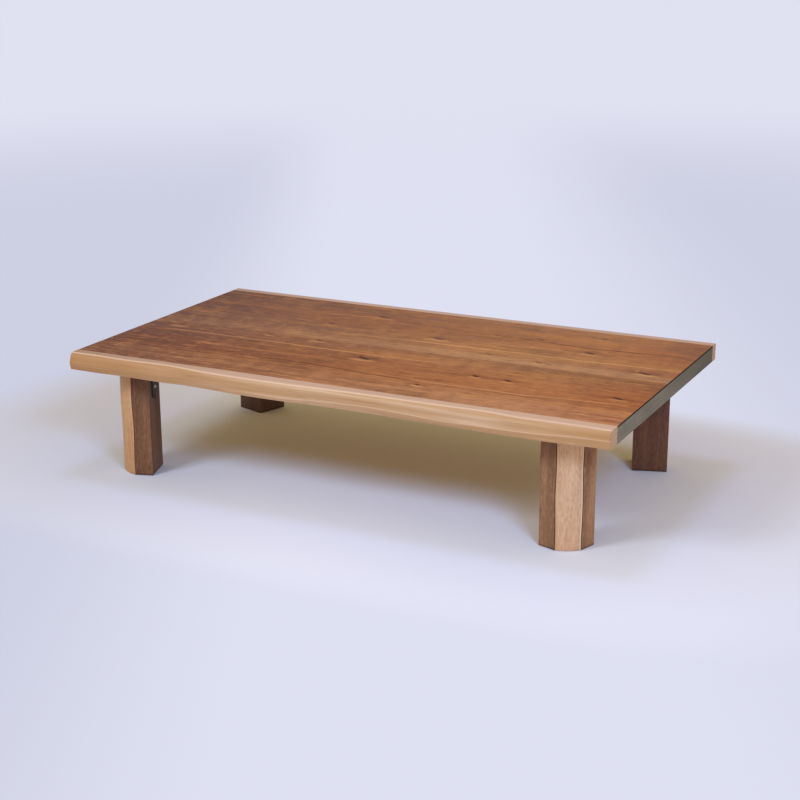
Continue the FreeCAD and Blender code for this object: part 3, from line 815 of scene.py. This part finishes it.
def eased_copy(node, width, rounds):
    """The frame's own shape, merged to whole faces, with its sharp arrises rubbed over."""
    sharp = math.radians(40)
    flat = math.radians(0.5)
    bm = bmesh.new()
    bm.from_mesh(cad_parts[node].data)
    bmesh.ops.remove_doubles(bm, verts=bm.verts, dist=0.000001)
    bmesh.ops.dissolve_limit(bm, angle_limit=flat, verts=bm.verts, edges=bm.edges)
    arrises = [edge for edge in bm.edges if edge.is_manifold and edge.calc_face_angle() > sharp]
    ease(bm, arrises, width, rounds, clamped=True)
    for face in bm.faces:
        face.material_index = 0
    return bm


rim_finish = facet_rim()
# Each leg's walnut, painted lighter or darker for the light and shade that fall on it: how light its
# boards
# # facing front and back are, then those facing the ends, and its shares of green and blue
board_light_shade_shares = {
    "front_right": (1.12, 1.23, 1.05, 1.0),
    "front_left": (0.94, 0.84, 0.99, 0.94),
    "back_right": (0.83, 0.92, 0.96, 0.96),
    "back_left": (0.72, 0.72, 1.05, 1.2),
}
for corner in corners:
    bm = eased_copy("leg_core_" + corner, post_ease, rounds=2)
    piece("leg_post_" + corner, bm, [facet_woods[corner.split("_")[1]]], "leg_" + corner,
          "leg_light_wood", "leg_core_" + corner)

    bm = eased_copy("leg_facing_" + corner, board_ease, rounds=2)
    disc_low, disc_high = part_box("leg_glide_" + corner)
    middle = (disc_low + disc_high) / 2
    to_end = math.copysign(1, middle.x)
    to_side = math.copysign(1, middle.y)
    outward = Vector((math.cos(math.radians(45) + leg_turn) * to_end,
                      math.sin(math.radians(45) + leg_turn) * to_side, 0))
    unturn = Matrix.Rotation(-leg_turn * to_end * to_side, 3, "Z")

    # How far out in its board each point lies, from 0 at the post to 1 at the outer face
    rim = bm.verts.layers.float.new("rim")
    painted_light = bm.verts.layers.float.new("painted_light")
    for vert in bm.verts:
        in_leg = unturn @ (vert.co - middle)
        outermost = max(abs(in_leg.x), abs(in_leg.y))
        vert[rim] = 1.0 + (outermost - half_leg) / board_thickness
        # 1 on the boards that face the ends, where the facet's rim gets a painted highlight
        vert[painted_light] = 1.0 if abs(in_leg.x) > abs(in_leg.y) else 0.0
    for face in bm.faces:
        in_leg = unturn @ (face.calc_center_median() - middle)
        if face.normal.angle(outward, math.pi) < facet_reach:
            face.material_index = 2
        elif abs(in_leg.x) > abs(in_leg.y):
            face.material_index = 1
    front_depth, end_depth, *shares = board_light_shade_shares[corner]
    boards = [walnut_boards("leg_walnut_front_" + corner, front_depth, *shares),
              walnut_boards("leg_walnut_end_" + corner, end_depth, *shares)]
    piece("leg_boards_" + corner, bm, boards + [rim_finish], "leg_" + corner, "walnut_facing",
          "leg_facing_" + corner)


# Felt discs
# Pressed wool felt, glued in a shallow pocket under each leg.

felt_ease = 0.0008


def wool_felt():
    material, tree, shader, point = new_finish("brown_felt")
    fuzz = noise(tree, point, (900.0, 900.0, 900.0), 4.0, 0.7)
    colour = tones(tree, fuzz, (0.3, paint(66, 52, 42)), (0.7, paint(112, 92, 76)))
    coat(tree, shader, colour, roughness=0.95)
    shader.inputs["Sheen Weight"].default_value = 0.3
    relief(tree, shader, fuzz, depth=0.0004)
    return material


felt = wool_felt()
for corner in corners:
    bm = eased_copy("leg_glide_" + corner, felt_ease, rounds=3)
    piece("felt_disc_" + corner, bm, [felt], "leg_" + corner, "glide_felt", "leg_glide_" + corner)


# Folding fittings
# Stamped steel plates with turned ears, stove-enamelled black, on a riveted pin.
# A leaf of blue spring steel lies over the cams and holds the leg at each end.

plate_ease = 0.0002


def metal(name, ground, worn, roughness, metallic, grain):
    """A metal or enamel: a cloudy colour, and a fine speckle in its gloss and its surface."""
    material, tree, shader, point = new_finish(name)
    speckle = noise(tree, point, (grain, grain, grain), 3.0)
    cloud = noise(tree, point, (60.0, 60.0, 60.0), 3.0)
    colour = mixed(tree, between(tree, cloud, 0.45, 0.7), ground, worn)
    coat(tree, shader, colour,
         between(tree, speckle, 0.3, 0.7, roughness * 0.85, roughness * 1.2))
    shader.inputs["Metallic"].default_value = metallic
    relief(tree, shader, speckle, depth=0.00003)
    return material


enamel = metal("black_enamel", paint(24, 22, 22), paint(36, 33, 32),
               roughness=0.5, metallic=0.0, grain=900.0)
spring_steel = metal("spring_steel", paint(96, 98, 104), paint(120, 116, 112),
                     roughness=0.32, metallic=1.0, grain=700.0)
zinc = metal("zinc_plated_steel", paint(232, 232, 230), paint(240, 236, 226),
             roughness=0.35, metallic=0.15, grain=600.0)
for corner in corners:
    bm = eased_copy("hinge_base_" + corner, plate_ease, rounds=2)
    piece("ear_plate_" + corner, bm, [enamel], "table_top", "black_fitting", "hinge_base_" + corner)
    bm = eased_copy("hinge_leaf_" + corner, plate_ease, rounds=2)
    piece("leg_plate_" + corner, bm, [enamel], "leg_" + corner, "black_fitting", "hinge_leaf_" + corner)
    dress("hinge_pin_" + corner, zinc)
    dress("lock_spring_" + corner, spring_steel)
    dress("leaf_screws_" + corner, zinc)
dress("hinge_base_screws", zinc)
dress("lock_spring_rivets", zinc)


# Studio
# A pale lavender-grey floor that runs on into the background. Two soft boxes light the
# table from front left and front right and one from overhead, with warm room light.

floor_reach = 40.0
background = paint(223, 225, 242)
far_background = paint(224, 225, 241)
room_light = (0.62, 0.48, 0.20, 1.0)
table_middle = (0.0, 0.0, 0.2)
to_the_right = (0.894, 0.449, 0.0)
shadow_reach_x = 0.85
shadow_reach_y = 0.50


def looked_at(tree):
    """1 where the camera or a gloss looks straight at it, 0 where it only gives light."""
    path = tree.nodes.new("ShaderNodeLightPath")
    return number(tree, "MAXIMUM", path.outputs["Is Camera Ray"], path.outputs["Is Glossy Ray"])


def studio_floor():
    """Paper that takes the table's shadow near it, with painted shade on its left side, and keeps an
    even tone further out, where painted shade towards both sides fades away with distance.
    """
    material, tree, shader, point = new_finish("studio_floor")
    x, y, _ = apart(tree, point)
    cloud = noise(tree, point, (0.8, 0.8, 0.0))
    colour = tones(tree, cloud, (0.3, paint(221, 222, 240)), (0.7, paint(226, 227, 243)))
    aside = vector(tree, "DOT_PRODUCT", point, to_the_right)
    left_painted_shade = between(tree, aside, -0.9, -0.2, 1.0, 0.0)
    right_painted_shade = between(tree, aside, 0.4, 1.5)
    # Painted shade: the paper darkens towards its left side
    colour = mixed(tree, number(tree, "MULTIPLY", left_painted_shade, 0.8), colour, paint(200, 203, 222))
    coat(tree, shader, colour, roughness=0.9, gloss=0.1)

    past_end = number(tree, "ABSOLUTE", number(tree, "DIVIDE", x, shadow_reach_x))
    past_side = number(tree, "ABSOLUTE", number(tree, "DIVIDE", y, shadow_reach_y))
    past_shadow = number(tree, "ADD", number(tree, "POWER", past_end, 4.0),
                         number(tree, "POWER", past_side, 4.0))
    far = between(tree, past_shadow, 1.2, 6.0)
    away = vector(tree, "LENGTH", point)
    paper = mixed(tree, between(tree, away, 2.5, 9.0), background, far_background)
    # Painted shade: the glow darkens towards both sides, less so further away
    side_painted_shade = number(tree, "MULTIPLY", number(tree, "MAXIMUM", left_painted_shade, right_painted_shade),
                    between(tree, away, 3.5, 8.0, 0.9, 0.0))
    glow = tree.nodes.new("ShaderNodeEmission")
    feed(tree, glow.inputs["Color"], mixed(tree, side_painted_shade, paper, paint(203, 205, 224)))
    join = tree.nodes.new("ShaderNodeMixShader")
    feed(tree, join.inputs[0], number(tree, "MULTIPLY", far, looked_at(tree)))
    tree.links.new(shader.outputs[0], join.inputs[1])
    tree.links.new(glow.outputs[0], join.inputs[2])
    tree.links.new(join.outputs[0], tree.nodes["Material Output"].inputs["Surface"])
    return material


bm = bmesh.new()
bmesh.ops.create_circle(bm, cap_ends=True, segments=96, radius=floor_reach)
floor_mesh = bpy.data.meshes.new("studio_floor")
bm.to_mesh(floor_mesh)
bm.free()
floor_mesh.materials.append(studio_floor())
floor = bpy.data.objects.new("studio_floor", floor_mesh)
bpy.context.scene.collection.objects.link(floor)

world = bpy.data.worlds.new("studio")
world.use_nodes = True
bpy.context.scene.world = world
tree = world.node_tree
world_colour = mixed(tree, looked_at(tree), room_light, far_background)
feed(tree, tree.nodes["Background"].inputs["Color"], world_colour)


def lamp(name, place, width, depth, power, colour):
    """A soft box at its place, aimed at the middle of the table."""
    data = bpy.data.lights.new(name, "AREA")
    data.shape = "RECTANGLE"
    data.size = width
    data.size_y = depth
    data.energy = power
    data.color = colour
    made = bpy.data.objects.new(name, data)
    bpy.context.scene.collection.objects.link(made)
    aim = (Vector(table_middle) - Vector(place)).to_track_quat("-Z", "Y")
    made.matrix_world = Matrix.Translation(place) @ aim.to_matrix().to_4x4()


lamp("front_left_box", (-1.27, -2.5, 2.32), 1.0, 0.9, 50.0, (0.76, 0.87, 1.0))
lamp("front_right_box", (2.5, -2.5, 2.32), 1.0, 0.9, 86.0, (0.42, 0.63, 1.0))
lamp("overhead_box", (-0.2, 0.1, 3.9), 0.9, 0.9, 28.0, (0.42, 0.50, 1.0))

camera_data = bpy.data.cameras.new("camera")
camera_data.lens = 71.47
camera_data.sensor_width = 36.0
camera_place = Matrix.Translation((1.6524, -3.2561, 1.2988))
camera_turn = Matrix.Rotation(math.radians(26.681), 4, "Z")
camera_tilt = Matrix.Rotation(math.radians(90 - 17.119), 4, "X")
camera_roll = Matrix.Rotation(math.radians(-0.2305), 4, "Z")
camera = bpy.data.objects.new("camera", camera_data)
bpy.context.scene.collection.objects.link(camera)
camera.matrix_world = camera_place @ camera_turn @ camera_tilt @ camera_roll
bpy.context.scene.camera = camera
bpy.context.scene.view_settings.view_transform = "Standard"
